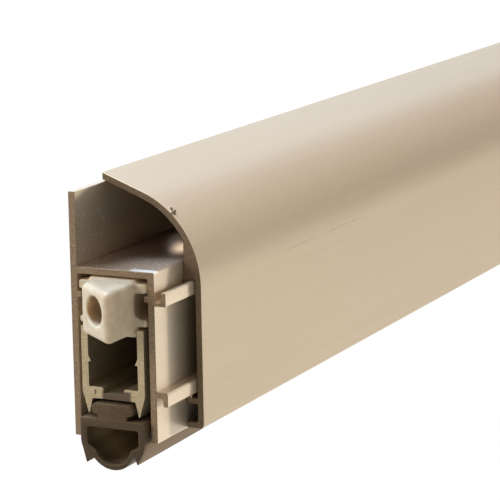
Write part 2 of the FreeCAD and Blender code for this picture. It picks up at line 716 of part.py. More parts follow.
os.makedirs("parts", exist_ok=True)
for thing in doc.Objects:
    if "Invalid" in thing.State or "Error" in thing.State:
        raise RuntimeError("%s: %s" % (thing.Name, thing.State))
for thing in doc.Objects:
    if thing.TypeId == "PartDesign::Body":
        if thing.Shape.isNull() or not thing.Shape.isValid() or len(thing.Shape.Solids) != 1:
            raise RuntimeError("bad shape: " + thing.Label)
        thing.Shape.exportStep("parts/%s.step" % thing.Label)
        print(thing.Label, thing.Shape.BoundBox, round(thing.Shape.Volume, 1))
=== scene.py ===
import math

import bmesh
import bpy
import numpy as np
from mathutils import Matrix, Vector
from mathutils.geometry import tessellate_polygon


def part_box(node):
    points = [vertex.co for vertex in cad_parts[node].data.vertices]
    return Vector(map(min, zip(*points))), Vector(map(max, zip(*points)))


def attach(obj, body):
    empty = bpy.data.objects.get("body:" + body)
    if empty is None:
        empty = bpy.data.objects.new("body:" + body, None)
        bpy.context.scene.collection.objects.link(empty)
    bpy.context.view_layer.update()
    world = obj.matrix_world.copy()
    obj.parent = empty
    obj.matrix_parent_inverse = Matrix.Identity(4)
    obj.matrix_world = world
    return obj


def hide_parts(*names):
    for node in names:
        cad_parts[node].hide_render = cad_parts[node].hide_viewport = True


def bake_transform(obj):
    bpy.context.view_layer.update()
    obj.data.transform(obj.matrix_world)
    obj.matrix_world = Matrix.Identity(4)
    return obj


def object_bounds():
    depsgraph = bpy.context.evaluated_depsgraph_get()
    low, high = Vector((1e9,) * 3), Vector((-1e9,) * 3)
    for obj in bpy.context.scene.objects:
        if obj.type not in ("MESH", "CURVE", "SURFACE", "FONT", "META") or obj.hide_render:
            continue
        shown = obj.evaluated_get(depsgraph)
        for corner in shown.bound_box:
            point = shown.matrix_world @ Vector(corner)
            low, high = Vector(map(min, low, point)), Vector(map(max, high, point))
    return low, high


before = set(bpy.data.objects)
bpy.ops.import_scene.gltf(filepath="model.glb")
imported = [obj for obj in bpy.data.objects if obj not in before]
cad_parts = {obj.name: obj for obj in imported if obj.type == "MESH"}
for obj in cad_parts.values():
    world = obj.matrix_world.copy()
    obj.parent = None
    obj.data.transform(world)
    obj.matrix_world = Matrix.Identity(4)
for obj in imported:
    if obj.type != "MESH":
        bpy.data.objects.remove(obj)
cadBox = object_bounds()
baseLow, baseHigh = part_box("base_profile")
nearEnd, farEnd = baseLow.x * 1000, baseHigh.x * 1000  # millimetres along the door
sharpTurn = math.radians(32)  # faces that turn more than this meet at a crisp edge
print("frame loaded:", len(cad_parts), "nodes")


# Sections are (across, level) in millimetres: across runs out from the door, level up from the base's foot.
def inFrame(along, section):
    return np.stack([along / 1000, -section[..., 0] / 1000, section[..., 1] / 1000 + baseLow.z], axis=-1)


def turning(loop):
    after = np.roll(loop, -1, axis=0)
    return np.sum(loop[:, 0] * after[:, 1] - loop[:, 1] * after[:, 0])


def wound(loop, way):
    return loop if turning(loop) * way > 0 else loop[::-1]


def withoutDoubles(loop):
    return loop[np.linalg.norm(loop - np.roll(loop, 1, axis=0), axis=1) > 1e-4]


# Corners are rows of (across, level, radius). A corner c becomes the curve (1-t)^2 p + 2t(1-t) c + t^2 q,
# with p and q one radius back from c along its two sides, and never more than 0.45 of a side.
def roundedLoop(corners, steps=5):
    rows = np.array(corners, float)
    c, radius = rows[:, :2], rows[:, 2:]
    back, ahead = np.roll(c, 1, axis=0) - c, np.roll(c, -1, axis=0) - c
    backLength = np.linalg.norm(back, axis=1, keepdims=True)
    aheadLength = np.linalg.norm(ahead, axis=1, keepdims=True)
    radius = np.minimum(radius, 0.45 * np.minimum(backLength, aheadLength))
    p, q = c + back / backLength * radius, c + ahead / aheadLength * radius
    t = np.linspace(0, 1, steps)[None, :, None]
    curve = (1 - t) ** 2 * p[:, None] + 2 * t * (1 - t) * c[:, None] + t ** 2 * q[:, None]
    return withoutDoubles(curve.reshape(-1, 2))


# A circle's points are centre + radius (sin a, cos a), with a in degrees from straight up.
def arc(centre, radius, start, stop, count):
    a = np.radians(np.linspace(start, stop, count))
    return np.stack([centre[0] + radius * np.sin(a), centre[1] + radius * np.cos(a)], axis=1)


# Each point moves to the left of its path by depth, along the mitre of its two sides, held short at sharp corners.
def insetLoop(loop, depth):
    side = np.roll(loop, -1, axis=0) - loop
    side = side / np.linalg.norm(side, axis=1, keepdims=True)
    left = np.stack([-side[:, 1], side[:, 0]], axis=1)
    mitre = left + np.roll(left, 1, axis=0)
    mitre = mitre / np.maximum(np.sum(mitre * mitre, axis=1, keepdims=True) / 2, 0.4)
    return loop + mitre * depth


def finishMesh(mesh):
    work = bmesh.new()
    work.from_mesh(mesh)
    bmesh.ops.remove_doubles(work, verts=work.verts, dist=1e-7)
    bmesh.ops.recalc_face_normals(work, faces=work.faces)
    work.to_mesh(mesh)
    work.free()
    mesh.shade_smooth()
    mesh.set_sharp_from_angle(angle=sharpTurn)


def newPiece(name, mesh, body, materials, node=None):
    piece = bpy.data.objects.new(name, mesh)
    bpy.context.scene.collection.objects.link(piece)
    for material in materials:
        mesh.materials.append(material)
    if body:
        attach(piece, body)
    if node:
        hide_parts(node)
    return piece


# The piece's modifiers are worked into a mesh of its own.
def applyModifiers(piece):
    bpy.context.view_layer.update()
    piece.data = bpy.data.meshes.new_from_object(piece.evaluated_get(bpy.context.evaluated_depsgraph_get()))
    piece.modifiers.clear()


def faceValues(mesh, key):
    values = np.empty(len(mesh.polygons) * 3)
    mesh.polygons.foreach_get(key, values)
    return values.reshape(-1, 3)


# Stations are (place, inset); a straight run has broken edges at both ends.
def straightRun(near, broken):
    return [(near, broken), (near + broken, 0), (farEnd - broken, 0), (farEnd, broken)]


# A section carried along the door: point (s, i) is the loop's point i, inset at station s,
# at that station's place; warp may bend a station's points. The ends are filled flat.
def runAlong(name, loops, stations, warp=None, cutBreak=False):
    places = np.array([s[0] for s in stations], float)
    points, faces, caps, first = [], [], [], 0
    for index, loop in enumerate(loops):
        loop = wound(np.array(loop, float), 1 if index == 0 else -1)
        rings = np.stack([insetLoop(loop, s[1]) for s in stations])
        if warp:
            rings = warp(rings, places)
        count = len(loop)
        along = np.broadcast_to(places[:, None], rings.shape[:2])
        points.append(inFrame(along, rings).reshape(-1, 3))
        s, i = np.meshgrid(np.arange(len(stations) - 1), np.arange(count), indexing="ij")
        j = (i + 1) % count
        quads = np.stack([s * count + i, (s + 1) * count + i, (s + 1) * count + j, s * count + j], axis=-1)
        faces += (quads.reshape(-1, 4) + first).tolist()
        caps.append((rings, first, count))
        first += count * len(stations)
    filled = []
    for station in (0, len(stations) - 1):
        outlines = [[Vector((p[0], p[1], 0)) for p in rings[station].tolist()] for rings, _, _ in caps]
        numbers = np.concatenate([start + station * count + np.arange(count) for _, start, count in caps])
        filled += numbers[np.array(tessellate_polygon(outlines))].tolist()
    mesh = bpy.data.meshes.new(name)
    mesh.from_pydata(np.concatenate(points).tolist(), [], faces + filled)
    cut = np.zeros(len(faces) + len(filled), np.int32)
    cut[len(faces):] = 1
    cut[caps[0][2] * (len(stations) - 1):len(faces)] = 2  # the walls of a hollow
    if cutBreak:  # the broken edges of a single loop are sawn as well
        inset = np.array([s[1] for s in stations])
        cut[:len(faces)] = np.repeat(np.maximum(inset[:-1], inset[1:]) > 0, count)
    mesh.polygons.foreach_set("material_index", cut)
    return mesh


# Materials

def tone(red, green, blue):
    c = np.array([red, green, blue]) / 255
    c = np.where(c <= 0.04045, c / 12.92, ((c + 0.055) / 1.055) ** 2.4)
    return (*c.tolist(), 1)


def addNode(tree, kind, inputs=None, **settings):
    made = tree.nodes.new(kind)
    for key, value in settings.items():
        setattr(made, key, value)
    for key, value in (inputs or {}).items():
        if isinstance(value, bpy.types.NodeSocket):
            tree.links.new(value, made.inputs[key])
        else:
            made.inputs[key].default_value = value
    return made


def newFinish(name, **sockets):
    finish = bpy.data.materials.new(name)
    finish.use_nodes = True
    shader = finish.node_tree.nodes["Principled BSDF"]
    for key, value in sockets.items():
        shader.inputs[key.replace("_", " ")].default_value = value
    return finish, finish.node_tree, shader


# Noise lies in Object coordinates, stretched along the axes and turned.
def noise(tree, scale, detail, stretch=(1, 1, 1), turn=(0, 0, 0), rough=0.5):
    place = addNode(tree, "ShaderNodeTexCoord").outputs["Object"]
    place = addNode(tree, "ShaderNodeMapping", {"Vector": place, "Scale": stretch, "Rotation": turn}).outputs["Vector"]
    return addNode(tree, "ShaderNodeTexNoise",
                   {"Vector": place, "Scale": scale, "Detail": detail, "Roughness": rough}).outputs["Fac"]


def spread(tree, value, low, high, fromLow=0.25, fromHigh=0.75):
    return addNode(tree, "ShaderNodeMapRange", {"Value": value, "From Min": fromLow, "From Max": fromHigh,
                                                "To Min": low, "To Max": high}).outputs["Result"]


def blendTone(tree, factor, first, second):
    mix = addNode(tree, "ShaderNodeMix", {"Factor": factor}, data_type="RGBA")
    for socket, value in ((mix.inputs[6], first), (mix.inputs[7], second)):
        if isinstance(value, bpy.types.NodeSocket):
            tree.links.new(value, socket)
        else:
            socket.default_value = value
    return mix.outputs[2]


def dress(tree, shader, colour, rough, height, strength, distance):
    bump = addNode(tree, "ShaderNodeBump", {"Height": height, "Strength": strength, "Distance": distance})
    for socket, value in (("Base Color", colour), ("Roughness", rough), ("Normal", bump.outputs["Normal"])):
        tree.links.new(value, shader.inputs[socket])


def weighed(tree, first, share, second):
    return addNode(tree, "ShaderNodeMix", {0: share, 2: second, 3: first}).outputs[0]


def product(tree, first, second):
    return addNode(tree, "ShaderNodeMath", {0: first, 1: second}, operation="MULTIPLY").outputs[0]


def larger(tree, first, second):
    return addNode(tree, "ShaderNodeMath", {0: first, 1: second}, operation="MAXIMUM").outputs[0]


# A band is 1 from low to high, in millimetres, and fades out over soft on both sides.
def band(tree, value, low, high, soft):
    rise = spread(tree, value, 0, 1, (low - soft) / 1000, low / 1000)
    fall = spread(tree, value, 1, 0, high / 1000, (high + soft) / 1000)
    return product(tree, rise, fall)


# A patch is a band each way: along from the base's near end, across from the door, level over the base's foot.
def patch(tree, along, across, level, soft):
    axes = addNode(tree, "ShaderNodeSeparateXYZ", {0: addNode(tree, "ShaderNodeTexCoord").outputs["Object"]}).outputs
    rise = baseLow.z * 1000
    both = product(tree, band(tree, axes[0], nearEnd + along[0], nearEnd + along[1], soft[0]),
                   band(tree, axes[1], -across[1], -across[0], soft[1]))
    return product(tree, both, band(tree, axes[2], rise + level[0], rise + level[1], soft[2]))


everywhere = (-20, 900)  # a range that takes in the whole part
champagne = {"cover": (tone(209, 191, 163), tone(198, 179, 150)), "coverMetal": 0.85, "coverRough": (0.38, 0.48),
             "base": (tone(231, 214, 190), tone(217, 199, 173)), "baseMetal": 0.62, "baseRough": (0.34, 0.44),
             # The cover's inside tones are painted shade.
             "shadedInside": (tone(120, 104, 84), tone(102, 88, 70)), "shadedInsideMetal": 0.3, "shadedInsideRough": (0.38, 0.48),
             # The shelf tone is painted shade.
             "shelf": tone(194, 170, 150), "scratch": tone(150, 128, 102), "chipAndHighlight": tone(250, 246, 240),
             # The chip tone and its metal serve the saw chips and the painted highlight on the shelf's end.
             "chipAndHighlightMetal": 0.1, "shine": 0.2, "drawn": (2600, 3, (0.012, 1, 1)), "grain": (5200, 2),
             "cloud": (60, 2, (0.3, 1, 1)), "drawnShare": 0.3, "contrast": (0.35, 0.65), "cloudShare": 0.35,
             "relief": (0.1, 0.00006)}


# Die lines run along the door, over etched satin grain and faint clouds.
def champagneSatin(key):
    finish, tree, shader = newFinish("champagne_" + key, Metallic=champagne[key + "Metal"],
                                     Specular_IOR_Level=champagne["shine"])
    pale, deep = champagne[key]
    drawn, grain, cloud = [noise(tree, *champagne[kind]) for kind in ("drawn", "grain", "cloud")]
    mixed = weighed(tree, drawn, champagne["drawnShare"], grain)
    colour = blendTone(tree, spread(tree, mixed, 0, 1, *champagne["contrast"]), pale, deep)
    colour = blendTone(tree, spread(tree, cloud, 0, champagne["cloudShare"]), colour, pale)
    rough = spread(tree, grain, *champagne[key + "Rough"])
    dress(tree, shader, colour, rough, mixed, *champagne["relief"])
    return finish, tree, shader, colour


# The cover's sawn tones are painted darker than the base's, as shade.
sawCut = {"base": (tone(154, 131, 103), tone(112, 92, 70)), "cover": (tone(124, 105, 80), tone(90, 75, 56)),
          # The carrier web's dark tone is painted shade.
          "mill": (tone(198, 181, 147), tone(158, 141, 109)), "webShade": tone(84, 66, 50), "metal": 0.35,
          "blade": (800, 3, (1, 1, 5), (0.5, 0, 0)), "crumbs": (2400, 4, (1, 1, 1), (0, 0, 0), 0.7),
          "bladeShare": 0.35, "contrast": (0.36, 0.64), "rough": (0.42, 0.6), "relief": (0.3, 0.00006)}


# Slanted blade marks lie over fine crumbs.
def sawnMetal(key):
    finish, tree, shader = newFinish("sawn_" + key, Metallic=sawCut["metal"])
    pale, deep = sawCut[key]
    blade, crumbs = noise(tree, *sawCut["blade"]), noise(tree, *sawCut["crumbs"])
    mixed = weighed(tree, blade, sawCut["bladeShare"], crumbs)
    colour = blendTone(tree, spread(tree, mixed, 0, 1, *sawCut["contrast"]), deep, pale)
    dress(tree, shader, colour, spread(tree, crumbs, *sawCut["rough"]), mixed, *sawCut["relief"])
    return finish, tree, shader, colour


mill = {"tones": (tone(190, 176, 150), tone(160, 146, 120)), "metal": 0.7, "drawn": (1900, 4, (0.01, 1, 1)),
        "rough": (0.3, 0.45), "relief": (0.15, 0.00005)}
plated = {"tones": (tone(205, 206, 204), tone(168, 170, 170)), "metal": 1, "drawn": (1600, 4),
          "rough": (0.28, 0.42), "relief": (0.1, 0.00004)}
rolled = {"tones": (tone(150, 150, 150), tone(112, 114, 118)), "metal": 1, "drawn": (1600, 4, (0.02, 1, 1)),
          "rough": (0.28, 0.42), "relief": (0.1, 0.00004)}


def drawnMetal(name, look):
    finish, tree, shader = newFinish(name, Metallic=look["metal"])
    drawn = noise(tree, *look["drawn"])
    colour = blendTone(tree, spread(tree, drawn, 0, 1), *look["tones"])
    dress(tree, shader, colour, spread(tree, drawn, *look["rough"]), drawn, *look["relief"])
    return finish


nylon = {"tones": (tone(221, 206, 184), tone(198, 180, 154)), "cloud": (420, 3), "grain": (3600, 2),
         "rough": (0.4, 0.52), "relief": (0.1, 0.00005), "through": 0.8, "depth": 0.002, "reach": (1.0, 0.8, 0.6)}


def creamNylon(name):
    finish, tree, shader = newFinish(name, Subsurface_Weight=nylon["through"], Subsurface_Scale=nylon["depth"],
                                     Subsurface_Radius=nylon["reach"])
    cloud, grain = noise(tree, *nylon["cloud"]), noise(tree, *nylon["grain"])
    colour = blendTone(tree, spread(tree, cloud, 0, 1), *nylon["tones"])
    dress(tree, shader, colour, spread(tree, grain, *nylon["rough"]), grain, *nylon["relief"])
    return finish


# The skin tones are lighter than the cut: dust and a painted sheen.
rubber = {"skin": (tone(112, 92, 65), tone(88, 72, 50)), "cut": (tone(99, 79, 55), tone(72, 56, 38)),
          # The hollow tone is painted light.
          "hollowLight": tone(196, 178, 150), "hollowLightFrom": 5, "hollowLightSoft": 5,
          # The bulb tone is painted shade on the lower part of the cut.
          "bulb": tone(66, 52, 36), "bulbTop": 1.6, "bulbSoft": 2, "bulbShare": (0.65, 0.9),
          "shine": 0.28, "sheen": 0.06, "sheenRough": 0.4, "drawn": (1500, 3, (0.03, 1, 1)), "grain": (3000, 3),
          "contrast": (0.6, 1.4), "rough": (0.5, 0.68), "relief": (0.2, 0.00008)}


def darkRubber(name, pale, deep, bulb=None, hollowLight=None):
    finish, tree, shader = newFinish(name, Specular_IOR_Level=rubber["shine"], Sheen_Weight=rubber["sheen"],
                                     Sheen_Roughness=rubber["sheenRough"])
    drawn, grain = noise(tree, *rubber["drawn"]), noise(tree, *rubber["grain"])
    mixed = addNode(tree, "ShaderNodeMath", {0: drawn, 1: grain}, operation="ADD").outputs[0]
    colour = blendTone(tree, spread(tree, mixed, 0, 1, *rubber["contrast"]), deep, pale)
    if bulb:  # the cut is painted darker from the plate down to the bulb, as shade
        lower = patch(tree, everywhere, everywhere, (everywhere[0], rubber["bulbTop"]), (1, 1, rubber["bulbSoft"]))
        colour = blendTone(tree, product(tree, lower, spread(tree, grain, *rubber["bulbShare"])), colour, bulb)
    if hollowLight:  # painted light lies in the hollow from a little way in
        inner = patch(tree, (rubber["hollowLightFrom"], everywhere[1]), everywhere, everywhere, (rubber["hollowLightSoft"], 1, 1))
        colour = blendTone(tree, inner, colour, hollowLight)
    dress(tree, shader, colour, spread(tree, grain, *rubber["rough"]), mixed, *rubber["relief"])
    return finish


# Marks are patches: along, across, level, and how softly they fade each way
marks = {"chips": ((-1, 9), (1, 14.9), (27.7, 36), (4, 0.05, 0.1)), "chipGrain": (2300, 1), "chipEdge": (0.66, 0.7),
         # The patch at the shelf's near end is a painted highlight.
         "shelfEndHighlight": ((-1, 1.3), (10.8, 15.2), (27.6, 28), (0.6, 0.6, 0.2)), "shelfEndHighlightShare": 0.85,
         # The shelf patch carries painted shade.
         "shelf": (everywhere, (1.3, 15.2), (27.7, 28), (1, 0.2, 0.05)),
         "scratch": ((59, 73), (17.5, 19), (23.6, 23.75), (3, 0.2, 0.15)),
         "nearScratch": ((43, 52), (17.5, 19), (23.65, 23.75), (4, 0.2, 0.15)),
         "scratchGrain": (500, 3), "scratchShare": (0.05, 0.4),
         # The web patch and the nick carry painted shade.
         "webShade": (everywhere, (5.7, 10.4), (6.2, 8.0), (1, 0.5, 0.25)), "webShadeShare": 0.97,
         "nick": ((-2, 2), (4.12, 4.3), (7.35, 7.95), (1, 0.12, 0.2))}
satin, tree, shader, colour = champagneSatin("base")
# The shelf top is painted darker as shade. Saw chips lie on it and on the back wall near the cut end; its end has a
# painted highlight.
chips = spread(tree, noise(tree, *marks["chipGrain"]), 0, 1, *marks["chipEdge"])
chips = product(tree, chips, patch(tree, *marks["chips"]))
# A painted highlight lies pale along the shelf's near end, with the chips.
shelfEndHighlight = product(tree, patch(tree, *marks["shelfEndHighlight"]), marks["shelfEndHighlightShare"])
chipsAndHighlight = larger(tree, chips, shelfEndHighlight)
colour = blendTone(tree, patch(tree, *marks["shelf"]), colour, champagne["shelf"])
tree.links.new(blendTone(tree, chipsAndHighlight, colour, champagne["chipAndHighlight"]), shader.inputs["Base Color"])
tree.links.new(spread(tree, chipsAndHighlight, champagne["baseMetal"], champagne["chipAndHighlightMetal"], 0, 1), shader.inputs["Metallic"])
coverSatin, tree, shader, colour = champagneSatin("cover")
# A faint scratch in two lengths runs along the cover where its front turns into the bend.
scratch = larger(tree, patch(tree, *marks["scratch"]), patch(tree, *marks["nearScratch"]))
scratch = product(tree, scratch, spread(tree, noise(tree, *marks["scratchGrain"]), *marks["scratchShare"]))
tree.links.new(blendTone(tree, scratch, colour, champagne["scratch"]), shader.inputs["Base Color"])
# The cover's inside takes darker tones as painted shade.
shadedInsideSatin = champagneSatin("shadedInside")[0]
# The cover's sawn end takes tones painted darker as shade.
sawnEnd, sawnCoverShaded = sawnMetal("base")[0], sawnMetal("cover")[0]
sawnMill, tree, shader, colour = sawnMetal("mill")
# The carrier's web is painted darker between its shoulders as shade, and one shoulder has a nick painted dark as the
# shade in a dimple.
webShade = product(tree, patch(tree, *marks["webShade"]), marks["webShadeShare"])
webAndNickShade = larger(tree, webShade, patch(tree, *marks["nick"]))
tree.links.new(blendTone(tree, webAndNickShade, colour, sawCut["webShade"]), shader.inputs["Base Color"])
millDrawn = drawnMetal("mill_drawn", mill)
moulded = creamNylon("cream_nylon")
# The outer skin is lighter with dust and a painted sheen.
rubberSkinSheen = darkRubber("rubber_skin_sheen", *rubber["skin"])
# The cut is painted darker towards the bulb as shade.
rubberCut = darkRubber("rubber_cut", *rubber["cut"], rubber["bulb"])
# The hollow's walls take painted light.
rubberHollowLit = darkRubber("rubber_hollow_lit", *rubber["skin"], hollowLight=rubber["hollowLight"])
zinc = drawnMetal("zinc_plate", plated)
springStrip = drawnMetal("spring_strip", rolled)
print("finishes made")

# Base: wall on the door, shelf, channel with two guide ribs, inner wall with two cover hooks
base = {"depth": 15, "height": 39.9, "backWall": 1.2, "innerWall": 1.15, "shelfTop": 27.8, "shelf": 1.1,
        "ribLow": 22.9, "ribThick": 0.9, "ribReach": 0.7, "hookOut": 17.0, "hookTip": 0.85,
        "upperLow": 22.4, "upperArm": 0.6, "upperRise": 2.25, "lowerTop": 8.5, "lowerArm": 1.0, "lowerFall": 2.35,
        "edge": 0.12, "endBreak": 0.07, "drillSides": 48,
        "fixings": 4, "fixingPitch": 120, "fixingHole": 4.5, "fixingSpan": (-1, 3),
        "rivetHole": 2.5, "rivetSpan": (13, 16)}
channelOut = base["depth"] - base["innerWall"]
ribTop = base["ribLow"] + base["ribThick"]
shelfUnder = base["shelfTop"] - base["shelf"]
hookIn = base["hookOut"] - base["hookTip"]
edge = base["edge"]
baseCorners = [
    (0, 0, edge), (base["backWall"], 0, edge),
    (base["backWall"], base["ribLow"], 0.15), (base["backWall"] + base["ribReach"], base["ribLow"], edge),
    (base["backWall"] + base["ribReach"], ribTop, edge), (base["backWall"], ribTop, 0.15),
    (base["backWall"], shelfUnder, 0.3), (channelOut, shelfUnder, 0.3),
    (channelOut, ribTop, 0.15), (channelOut - base["ribReach"], ribTop, edge),
    (channelOut - base["ribReach"], base["ribLow"], edge), (channelOut, base["ribLow"], 0.15),
    (channelOut, 0, edge), (base["depth"], 0, edge),
    (base["depth"], base["lowerTop"] - base["lowerArm"], 0.2), (hookIn, base["lowerTop"] - base["lowerArm"], 0.2),
    (hookIn, base["lowerTop"] - base["lowerFall"], 0.25), (base["hookOut"], base["lowerTop"] - base["lowerFall"], 0.25),
    (base["hookOut"], base["lowerTop"], 0.5), (base["depth"], base["lowerTop"], 0.25),
    (base["depth"], base["upperLow"], 0.2), (base["hookOut"], base["upperLow"], 0.25),
    (base["hookOut"], base["upperLow"] + base["upperRise"], 0.25), (hookIn, base["upperLow"] + base["upperRise"], 0.25),
    (hookIn, base["upperLow"] + base["upperArm"], 0.2), (base["depth"], base["upperLow"] + base["upperArm"], 0.2),
    (base["depth"], base["shelfTop"], 0.25), (base["backWall"], base["shelfTop"], 0.4),
    (base["backWall"], base["height"], edge), (0, base["height"], edge),
]
baseLoop = roundedLoop(baseCorners)
baseMesh = runAlong("base_run", [baseLoop], straightRun(nearEnd, base["endBreak"]), cutBreak=True)
finishMesh(baseMesh)


# A drill is a tube of points centre + radius (cos a, sin a) along the across axis, with both ends filled.
def drill(name, along, level, width, span):
    sides, radius = base["drillSides"], width / 2
    a = np.linspace(0, 2 * math.pi, sides, endpoint=False)
    rings = [inFrame(along + radius * np.cos(a), np.stack([np.full(sides, w), level + radius * np.sin(a)], axis=1))
             for w in span]
    i = np.arange(sides)
    j = (i + 1) % sides
    quads = np.stack([i, j, j + sides, i + sides], axis=1).tolist()
    mesh = bpy.data.meshes.new(name)
    mesh.from_pydata(np.concatenate(rings).tolist(), [], quads + [i.tolist(), (i + sides).tolist()])
    finishMesh(mesh)
    tool = bpy.data.objects.new(name, mesh)
    bpy.context.scene.collection.objects.link(tool)
    return tool


baseRun = newPiece("base_run", baseMesh, "housing", [satin, sawnEnd], "base_profile")
fixingLevel = -baseLow.z * 1000
drills = []
for k in range(base["fixings"]):
    along = (k - (base["fixings"] - 1) / 2) * base["fixingPitch"]
    drills.append(drill("drill_fix", along, fixingLevel, base["fixingHole"], base["fixingSpan"]))
for side in ("front", "rear"):
    low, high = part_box(side + "_anchor_rivet")
    along, level = (low.x + high.x) * 500, (low.z + high.z) * 500 + fixingLevel
    drills.append(drill("drill_rivet", along, level, base["rivetHole"], base["rivetSpan"]))
for tool in drills:
    cutting = baseRun.modifiers.new("hole", "BOOLEAN")
    cutting.object = tool
    cutting.operation = "DIFFERENCE"
    cutting.solver = "EXACT"
applyModifiers(baseRun)
baseRun.data.set_sharp_from_angle(angle=sharpTurn)
for tool in drills:
    bpy.data.objects.remove(tool)
print("base drawn,", len(drills), "holes")

# Cover: sloped top, one large bend, tongue behind the upper hook, lug and nib under the lower hook, bottom flange
cover = {"wall": 1.15, "setback": 10, "radius": 16, "slope": 21, "lap": 0.7, "foot": 0.2, "footThick": 1.0,
         "footRound": 0.8, "tongue": 0.8, "lugLow": 4.25, "gap": 0.12, "endBreak": 0.09,
         "cornerSteps": 7, "innerSteps": 24, "nearStations": (1.4, 14), "laterStations": (1.7, 2.0, 2.4, 3.0),
         "insideTurn": 0.3}
coverIn = base["hookOut"] + cover["gap"]
coverOut = coverIn + cover["wall"]
sinTop, cosTop = math.sin(math.radians(cover["slope"])), math.cos(math.radians(cover["slope"]))
bend = np.array([coverOut - cover["radius"], 0.0])
bend[1] = (base["height"] + cover["gap"] + cover["wall"] / cosTop - cover["radius"] * cosTop
           - sinTop / cosTop * (bend[0] + cover["radius"] * sinTop - base["backWall"]))
lapLevel = bend[1] + cover["radius"] * cosTop + sinTop / cosTop * (bend[0] + cover["radius"] * sinTop - cover["lap"])
innerRadius = cover["radius"] - cover["wall"]
wedgeFace = base["depth"] + cover["gap"]
wedgeLow = base["upperLow"] + base["upperRise"] + cover["gap"]
wedgeTurn = math.degrees(math.asin((wedgeFace - bend[0]) / innerRadius))
tongueLow = base["upperLow"] + base["upperArm"] + cover["gap"] * 2
nibFace, nibOut = wedgeFace + cover["gap"], hookIn - cover["gap"]
nibHigh = base["lowerTop"] - base["lowerArm"] - cover["gap"] * 4
lugHigh, footHigh = cover["lugLow"] + cover["footThick"], cover["foot"] + cover["footThick"]
innerCurve = arc(bend, innerRadius, cover["slope"], wedgeTurn, cover["innerSteps"])
# The outside of the bend has closer points round the burr.
outerArcs = ((90, 47, 22), (46.5, 38.5, 25), (38, cover["slope"], 9))
outerCurve = np.concatenate([arc(bend, cover["radius"], *part) for part in outerArcs])
coverCorners = [(cover["lap"], lapLevel - cover["wall"] / cosTop, 0.1)]
coverCorners += [(*p, 0) for p in innerCurve.tolist()]
coverCorners += [
    (wedgeFace, tongueLow, 0.25), (wedgeFace + cover["tongue"], tongueLow, 0.25),
    (wedgeFace + cover["tongue"], wedgeLow, 0.2), (coverIn, wedgeLow, 0.2),
    (coverIn, lugHigh, 0.2), (nibOut, lugHigh, 0.15), (nibOut, nibHigh, 0.25), (nibFace, nibHigh, 0.25),
    (nibFace, cover["lugLow"], 0.3), (coverIn, cover["lugLow"], 0.3),
    (coverIn, footHigh, 0.5), (wedgeFace, footHigh, 0.15), (wedgeFace, cover["foot"], 0.15),
    (coverOut, cover["foot"], cover["footRound"]),
]
coverCorners += [(*p, 0) for p in outerCurve.tolist()]
coverCorners += [(cover["lap"], lapLevel, 0.15)]
coverLoop = roundedLoop(coverCorners, cover["cornerSteps"])
coverNear = nearEnd + cover["setback"]
# Close stations carry the burr, which has died out at the last of them.
burrStations = np.linspace(cover["endBreak"], *cover["nearStations"]).tolist() + list(cover["laterStations"])
coverStations = [(coverNear, cover["endBreak"])] + [(coverNear + s, 0) for s in burrStations]
coverStations += [(farEnd - cover["endBreak"], 0), (farEnd, cover["endBreak"])]

# The burr is a chip of saw waste on the bend, at turn degrees from straight up: points there move straight out by
# height exp(-(d / wide)^2) exp(-((x - place) / long)^2), d being sideways, with a second, lower lump beside it.
# Lumps are (shift sideways, shift along, height, wide, long); past proud, faces of the burr are sawn metal.
burr = {"turn": 43, "place": 0.55, "lumps": ((0.0, 0.0, 0.75, 0.38, 0.4), (-0.75, 0.35, 0.4, 0.3, 0.3)),
        "depth": 0.5, "reach": 3, "proud": 0.1, "across": 10, "level": 31, "length": 3}


def raiseBurr(rings, places):
    a = math.radians(burr["turn"])
    out, side = np.array([math.sin(a), math.cos(a)]), np.array([math.cos(a), -math.sin(a)])
    away = rings - (bend + cover["radius"] * out)
    depth, sideways = away @ out, away @ side
    lift = np.zeros(rings.shape[:2])
    for shift, ahead, height, wide, long in burr["lumps"]:
        ends = np.exp(-((places - coverNear - burr["place"] - ahead) / long) ** 2)[:, None]
        lift = np.maximum(lift, height * np.exp(-((sideways - shift) / wide) ** 2) * ends)
    lift = np.where((np.abs(depth) < burr["depth"]) & (np.abs(sideways) < burr["reach"]), lift, 0)
    return rings + lift[..., None] * out


coverMesh = runAlong("cover_run", [coverLoop], coverStations, raiseBurr)
finishMesh(coverMesh)
centres = faceValues(coverMesh, "center") * (1000, -1000, 1000) - (0, 0, baseLow.z * 1000)
coverCut = np.empty(len(centres), np.int32)
coverMesh.polygons.foreach_get("material_index", coverCut)
raised = np.hypot(centres[:, 1] - bend[0], centres[:, 2] - bend[1]) > cover["radius"] + burr["proud"]
beside = (centres[:, 1] > burr["across"]) & (centres[:, 2] > burr["level"])
coverCut[raised & beside & (centres[:, 0] < coverNear + burr["length"])] = 1
# Faces that look away from straight out of the cover are its inside, painted darker as shade.
facing = faceValues(coverMesh, "normal") * (1, -1, 1)
turned = np.arctan2(centres[:, 1] - bend[0], np.maximum(centres[:, 2] - bend[1], 1e-6))
turned = np.maximum(turned, math.radians(cover["slope"]))
shadedInside = facing[:, 1] * np.sin(turned) + facing[:, 2] * np.cos(turned) < cover["insideTurn"]
coverCut[shadedInside & (coverCut == 0)] = 2
coverMesh.polygons.foreach_set("material_index", coverCut)
newPiece("cover_run", coverMesh, "housing", [coverSatin, sawnCoverShaded, shadedInsideSatin], "clip_on_cover")
print("cover drawn")

